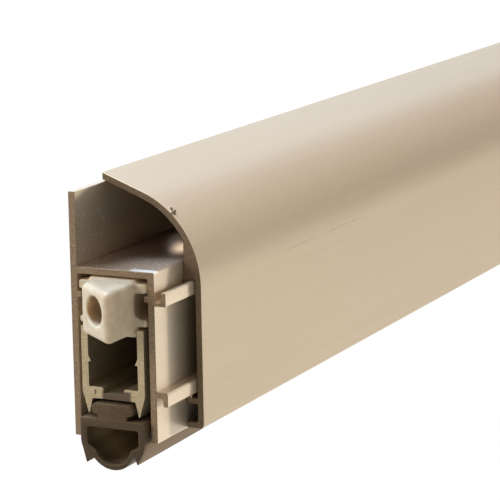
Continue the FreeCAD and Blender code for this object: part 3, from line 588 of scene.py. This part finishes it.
# Carrier: two legs with bumps, a web with shoulders, pointed tips that grip the gasket's head
carrier = {"legOut": 5.65, "leg": 1.2, "top": 18.4, "tip": 4.15, "taper": 1.0, "bumpLow": 12.6, "bump": 0.5,
           "webLow": 6.6, "web": 1.0, "shoulderRise": 0.9, "shoulderWide": 2.6, "groove": 3.87, "tipFlat": 0.2,
           "proud": 0.5, "endBreak": 0.03}
middle = (base["backWall"] + channelOut) / 2
legIn = carrier["legOut"] - carrier["leg"]
webTop = carrier["webLow"] + carrier["web"]
shoulderTop = webTop + carrier["shoulderRise"]
tipOut = carrier["legOut"] - carrier["taper"]
carrierHalf = [
    (legIn - carrier["shoulderWide"], webTop, 0.25), (legIn - carrier["shoulderWide"], shoulderTop, 0.5),
    (legIn, shoulderTop, 0.25), (legIn, carrier["bumpLow"], 0.1), (legIn - carrier["bump"], carrier["bumpLow"], 0.15),
    (legIn, carrier["bumpLow"] + carrier["bump"] * 2, 0.2), (legIn, carrier["top"], 0.12),
    (carrier["legOut"], carrier["top"], 0.12), (carrier["legOut"], webTop, 0.3), (tipOut, carrier["tip"], 0.08),
    (tipOut - carrier["tipFlat"], carrier["tip"], 0.08), (carrier["groove"], carrier["webLow"], 0.2),
]


# The half section runs down one side; its mirror image runs back up the other.
def bothSides(half):
    right = np.array(half, float)
    left = right[::-1] * (-1, 1, 1)
    both = np.concatenate([right, left])
    both[:, 0] += middle
    return both


carrierLoop = roundedLoop(bothSides(carrierHalf))
carrierStations = straightRun(nearEnd - carrier["proud"], carrier["endBreak"])
carrierMesh = runAlong("carrier_run", [carrierLoop], carrierStations, cutBreak=True)
finishMesh(carrierMesh)
newPiece("carrier_run", carrierMesh, "seal_bar", [millDrawn, sawnMill], "carrier_profile")
print("carrier drawn")

# Gasket: head under the web, plate, two fins and a hollow bulb
gasket = {"proud": 1.3, "head": 3.75, "neck": 2.6, "plateHalf": 5.825, "plateTop": 3.5, "plate": 1.4, "finWall": 1.15,
          "finBend": -0.8, "finTip": -3.05, "finTurn": 1.1, "notchHalf": 3.7, "notch": -2.7, "bulbLow": -4.8,
          "bulbWall": 0.8, "bulbSplit": 3, "bulbSteps": 9, "headGap": 0.6, "headBevel": (0.5, 0.4), "headTaper": 0.2,
          "headLift": 0.2, "endBreak": 0.07, "endEase": 0.3, "nearStations": (1.5, 30, 20)}
bulbRise = gasket["notch"] - gasket["bulbLow"]
bulbRadius = (gasket["notchHalf"] ** 2 + bulbRise ** 2) / (2 * bulbRise)
bulbCentre = gasket["bulbLow"] + bulbRadius
bulbTurn = math.degrees(math.asin(gasket["notchHalf"] / bulbRadius))
headLow = carrier["tip"] + gasket["headLift"]
headHigh = carrier["webLow"] - gasket["headGap"]
bevelAcross, bevelDown = gasket["headBevel"]


# The bulb's arc stops short of the bottom by the split, and the other side goes on from there.
def bulbArc(radius, turn):
    curve = arc((0, bulbCentre), radius, 180 - turn, 180 - gasket["bulbSplit"], gasket["bulbSteps"])
    return [(*p, 0) for p in curve.tolist()]


gasketHalf = [
    (gasket["head"] - bevelAcross, headHigh, 0.2), (gasket["head"], headHigh - bevelDown, 0.3),
    (gasket["head"] - gasket["headTaper"], headLow, 0.2), (gasket["neck"], headLow, 0.25),
    (gasket["neck"], gasket["plateTop"], 0.25),
    (gasket["plateHalf"], gasket["plateTop"], 0.3), (gasket["plateHalf"], gasket["finBend"], 0.8),
    (gasket["plateHalf"] - gasket["finTurn"], gasket["finTip"], 0.12),
]
gasketHalf += bulbArc(bulbRadius, bulbTurn)
hollowRadius = bulbRadius - gasket["bulbWall"]
hollowHalf = gasket["notchHalf"] - gasket["bulbWall"] / 2
hollowTurn = math.degrees(math.asin(hollowHalf / hollowRadius))
hollowSide = gasket["plateHalf"] - gasket["finWall"]
hollowHalfLoop = [(hollowSide, gasket["plateTop"] - gasket["plate"], 0.4), (hollowSide, gasket["finBend"], 0.5)]
hollowHalfLoop += bulbArc(hollowRadius, hollowTurn)
gasketLoop, hollowLoop = roundedLoop(bothSides(gasketHalf)), roundedLoop(bothSides(hollowHalfLoop))
gasketNear = nearEnd - gasket["proud"]
broken = gasket["endBreak"]
eased = broken * gasket["endEase"]
gasketStations = [(gasketNear, broken), (gasketNear + eased, eased), (gasketNear + broken, 0)]
gasketStations += [(gasketNear + s, 0) for s in np.linspace(*gasket["nearStations"]).tolist()]
gasketStations += [(farEnd - broken, 0), (farEnd - eased, eased), (farEnd, broken)]

# The cut end is pulled out of true: each row is (across, level, move across, move up) and its move falls off as
# exp(-d^2 / 2 wide^2) round its point, and along the strip as 1 - t^2 (3 - 2t) with t from 0 to 1 over length.
# What is left of it at the last near station fades evenly to the far end.
pulled = {"rows": np.array([(2.80, -3.05, -0.22, -0.85), (12.25, -3.05, -0.42, -1.02), (3.83, -2.7, 0.26, -0.1),
                            (11.22, -2.7, 0.26, 1.38)]), "wide": 0.75, "length": 44}


def pullEnd(rings, places):
    t = np.clip((places - gasketNear) / pulled["length"], 0, 1)
    fade = (1 - t * t * (3 - 2 * t))[:, None, None]
    away = rings[:, :, None, :] - pulled["rows"][None, None, :, :2]
    weight = np.exp(-np.sum(away * away, axis=3) / (2 * pulled["wide"] ** 2))
    return rings + fade * (weight @ pulled["rows"][:, 2:])


gasketMesh = runAlong("gasket_run", [gasketLoop, hollowLoop], gasketStations, pullEnd)
finishMesh(gasketMesh)
newPiece("gasket_run", gasketMesh, "seal_bar", [rubberSkinSheen, rubberCut, rubberHollowLit], "seal_gasket")
print("gasket drawn")

# Nose: the moulded slider, its CAD shape with softened mould edges
nose = {"voxel": 0.00022, "smooth": 6, "ease": 0.5}
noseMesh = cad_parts["actuator_nose"].data.copy()
noseMesh.materials.clear()
finishMesh(noseMesh)
noseMould = newPiece("nose_mould", noseMesh, "actuator", [moulded], "actuator_nose")
grid = noseMould.modifiers.new("grid", "REMESH")
grid.mode = "VOXEL"
grid.voxel_size = nose["voxel"]
soften = noseMould.modifiers.new("soften", "SMOOTH")
soften.factor = nose["ease"]
soften.iterations = nose["smooth"]
applyModifiers(noseMould)
noseMould.data.shade_smooth()
print("nose moulded,", len(noseMould.data.polygons), "faces")

# Bow springs: each CAD strip is cut in three, behind its shoe eye and at its saddle, with crosswise cuts along each
# part.
spring = {"eye": 0.0024, "slide": 0.018, "flat": 0.007, "past": 0.001, "cuts": 18}


def stripPart(name, mesh, low, high):
    work = bmesh.new()
    work.from_mesh(mesh)
    bmesh.ops.remove_doubles(work, verts=work.verts, dist=1e-6)
    for place in np.linspace(low, high, spring["cuts"]).tolist():
        everything = work.verts[:] + work.edges[:] + work.faces[:]
        bmesh.ops.bisect_plane(work, geom=everything, plane_co=(place, 0, 0), plane_no=(1, 0, 0), dist=1e-7,
                               clear_inner=place == low, clear_outer=place == high)
    bmesh.ops.holes_fill(work, edges=[rim for rim in work.edges if rim.is_boundary])
    part = bpy.data.meshes.new(name)
    work.to_mesh(part)
    work.free()
    finishMesh(part)
    return part


for side in ("front", "rear"):
    node = side + "_bow_spring"
    low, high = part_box(node)
    pins = [sum(corner.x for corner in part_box(side + pin)) / 2 for pin in ("_shoe_pin", "_anchor_pin")]
    centre = sum(pins) / 2
    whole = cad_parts[node].data
    level = (low.y + high.y) / 2, (low.z + high.z) / 2
    eyeEnd = pins[0] + spring["eye"]
    seam = eyeEnd + spring["slide"]
    thirds = {"eye": (low.x - spring["past"], seam, "actuator", "housing", eyeEnd, seam),
              "shoe": (seam, centre, "housing", "seal_bar", seam, centre - spring["flat"]),
              "anchor": (centre, high.x + spring["past"], "housing", "seal_bar", pins[1], centre + spring["flat"])}
    for third, (start, stop, still, moved, bendFrom, bendTo) in thirds.items():
        name = side + "_spring_" + third
        bent = newPiece(name, stripPart(name, whole, start, stop), None, [springStrip], node)
        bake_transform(bent)
print("springs cut")

# Kept CAD nodes take their finishes
finishes = {"push_bar": millDrawn, "nose_rivet": zinc}
for side in ("front", "rear"):
    finishes.update({side + "_slide_shoe": moulded, side + "_anchor_block": moulded, side + "_saddle": moulded,
                     side + "_shoe_rivet": zinc, side + "_shoe_pin": zinc, side + "_anchor_rivet": zinc,
                     side + "_anchor_pin": zinc, side + "_saddle_rivet": zinc})
for node, finish in finishes.items():
    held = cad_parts[node]
    held.data.materials.clear()
    held.data.materials.append(finish)
print("kept nodes finished:", len(finishes))

# Stage: pale floor and white surround, which mirrors see with a dim horizon, a low key lamp from the far right,
# soft light from above, a soft light for the nose and a gleam for the shelf
stage = {"floorDrop": 0.045, "floorReach": 4, "floor": tone(198, 187, 170), "floorRough": 0.9, "floorShine": 0.1,
         "ambient": 0.06, "ambientTone": (1.0, 0.98, 0.95, 1),
         "key": 6.6, "keyFrom": (0.876, -0.481, 0.03), "keyAngle": 6, "keyTone": (1.0, 0.94, 0.84),
         "lift": 1.0, "liftFrom": (0.1, -0.95, 0.1), "liftAngle": 70, "liftTone": (1.0, 0.92, 0.8),
         "fill": 1.6, "fillFrom": (-0.62, 0.66, 0.42), "fillAngle": 30, "fillTone": (1.0, 0.91, 0.78),
         "overhead": 4.2, "overheadFrom": (0.05, 0.5, 0.86), "overheadAngle": 30, "overheadTone": (0.64, 0.81, 1.0),
         "sky": 0.2, "skyFrom": (0.82, 0.32, 0.47), "skyAngle": 40, "skyTone": (0.35, 0.65, 1.0),
         "gleam": 7.0, "gleamAt": (-0.1954, -0.0099, -0.00605), "gleamFrom": (-0.87, -0.37, 0.32),
         "gleamAway": 0.12, "gleamWide": 1.6, "gleamSoft": 0.001, "gleamTone": (1.0, 0.99, 0.92),
         "glow": 1.06, "glowShare": 0.9, "horizon": 0.64, "ceiling": 1.18, "climb": (0.06, 0.5),
         "ceilingTone": (1.0, 0.965, 1.03, 1), "ahead": (0.85, 1.0), "aheadDim": 0.1,
         "nearFloor": 1.1, "farFloor": 0.62, "floorFade": (0.1, 0.95)}


def throughLens(tree):
    seen = addNode(tree, "ShaderNodeLightPath").outputs
    return larger(tree, larger(tree, seen["Is Camera Ray"], seen["Is Glossy Ray"]), seen["Is Transmission Ray"])


# Only glossy rays see the room at this level, 1 + glossy (level - 1), so that the satin cover mirrors a dim horizon.
def inMirror(tree, level):
    glossy = addNode(tree, "ShaderNodeLightPath").outputs["Is Glossy Ray"]
    less = addNode(tree, "ShaderNodeMath", {0: level, 1: 1.0}, operation="SUBTRACT").outputs[0]
    return addNode(tree, "ShaderNodeMath", {0: less, 1: glossy, 2: 1.0}, operation="MULTIPLY_ADD").outputs[0]


world = bpy.data.worlds.new("white_room")
bpy.context.scene.world = world
world.use_nodes = True
air = world.node_tree
air.nodes.clear()
dim = addNode(air, "ShaderNodeBackground", {"Color": stage["ambientTone"], "Strength": stage["ambient"]})
way = addNode(air, "ShaderNodeSeparateXYZ", {0: addNode(air, "ShaderNodeTexCoord").outputs["Generated"]}).outputs
room = product(air, spread(air, way["Z"], stage["horizon"], stage["ceiling"], *stage["climb"]),
               spread(air, way["X"], 1, stage["aheadDim"], *stage["ahead"]))
glossy = addNode(air, "ShaderNodeLightPath").outputs["Is Glossy Ray"]
above = product(air, glossy, spread(air, way["Z"], 0, 1, *stage["climb"]))
white = addNode(air, "ShaderNodeBackground", {"Color": blendTone(air, above, (1, 1, 1, 1), stage["ceilingTone"]),
                                              "Strength": inMirror(air, room)})
mixAir = addNode(air, "ShaderNodeMixShader", {0: throughLens(air), 1: dim.outputs[0], 2: white.outputs[0]})
air.links.new(mixAir.outputs[0], addNode(air, "ShaderNodeOutputWorld").inputs["Surface"])

floorMesh = bpy.data.meshes.new("floor")
floorLevel = cadBox[0].z - stage["floorDrop"]
reach = stage["floorReach"] * np.array([[-1, -1], [1, -1], [1, 1], [-1, 1]], float)
floorMesh.from_pydata(np.column_stack([reach, np.full(4, floorLevel)]).tolist(), [], [[0, 1, 2, 3]])
floor = bpy.data.objects.new("floor", floorMesh)
bpy.context.scene.collection.objects.link(floor)
paper, paperTree, paperShader = newFinish("floor_paper", Base_Color=stage["floor"], Roughness=stage["floorRough"],
                                          Specular_IOR_Level=stage["floorShine"])
spot = addNode(paperTree, "ShaderNodeNewGeometry").outputs["Position"]
away = addNode(paperTree, "ShaderNodeSeparateXYZ", {0: spot}).outputs["X"]
sheet = inMirror(paperTree, spread(paperTree, away, stage["nearFloor"], stage["farFloor"], *stage["floorFade"]))
glow = addNode(paperTree, "ShaderNodeEmission",
               {"Color": (1, 1, 1, 1), "Strength": product(paperTree, sheet, stage["glow"])})
share = product(paperTree, throughLens(paperTree), stage["glowShare"])
mixPaper = addNode(paperTree, "ShaderNodeMixShader", {0: share, 1: paperShader.outputs[0], 2: glow.outputs[0]})
paperTree.links.new(mixPaper.outputs[0], paperTree.nodes["Material Output"].inputs["Surface"])
floorMesh.materials.append(paper)


def sunLamp(name):
    lamp = bpy.data.lights.new(name, "SUN")
    lamp.energy = stage[name]
    lamp.angle = math.radians(stage[name + "Angle"])
    lamp.color = stage[name + "Tone"]
    holder = bpy.data.objects.new(name, lamp)
    holder.rotation_euler = Vector(stage[name + "From"]).to_track_quat("Z", "Y").to_euler()
    bpy.context.scene.collection.objects.link(holder)
    return holder


keyLamp = sunLamp("key")
keyLamp.visible_glossy = False
# The key is flagged off the nose, which takes a soft light of its own instead.
flagged = bpy.data.collections.new("flagged_off_key")
flagged.objects.link(noseMould)
flagged.collection_objects[0].light_linking.link_state = "EXCLUDE"
keyLamp.light_linking.receiver_collection = flagged
lifted = bpy.data.collections.new("lifted")
lifted.objects.link(noseMould)
liftLamp = sunLamp("lift")
liftLamp.light_linking.receiver_collection = lifted
for name in ("fill", "overhead", "sky"):
    sunLamp(name)
# A narrow gleam comes in at the cut end and lies on the shelf beside the cover.
beam = bpy.data.lights.new("gleam", "SPOT")
beam.energy, beam.color = stage["gleam"], stage["gleamTone"]
beam.spot_size, beam.spot_blend = math.radians(stage["gleamWide"]), 1
beam.shadow_soft_size = stage["gleamSoft"]
gleam = bpy.data.objects.new("gleam", beam)
gleam.location = Vector(stage["gleamAt"]) + Vector(stage["gleamFrom"]).normalized() * stage["gleamAway"]
gleam.rotation_euler = Vector(stage["gleamFrom"]).to_track_quat("Z", "Y").to_euler()
bpy.context.scene.collection.objects.link(gleam)
gleaming = bpy.data.collections.new("gleaming")
gleaming.objects.link(baseRun)
gleam.light_linking.receiver_collection = gleaming

view = {"lens": 180, "sensor": 36, "clip": (0.01, 50), "from": (-0.33788, -0.19649, 0.10870),
        "right": (0.43453, -0.90048, -0.01804), "up": (0.18625, 0.07025, 0.97999),
        "back": (-0.88119, -0.42920, 0.19824)}
lens = bpy.data.cameras.new("photo_view")
lens.lens, lens.sensor_width = view["lens"], view["sensor"]
lens.sensor_fit = "HORIZONTAL"
lens.clip_start, lens.clip_end = view["clip"]
camera = bpy.data.objects.new("photo_view", lens)
turn = Matrix((view["right"], view["up"], view["back"])).transposed()
camera.matrix_world = Matrix.Translation(Vector((baseLow.x, 0, baseLow.z)) + Vector(view["from"])) @ turn.to_4x4()
bpy.context.scene.collection.objects.link(camera)
bpy.context.scene.camera = camera
bpy.context.scene.view_settings.view_transform = "Standard"
print("stage set")
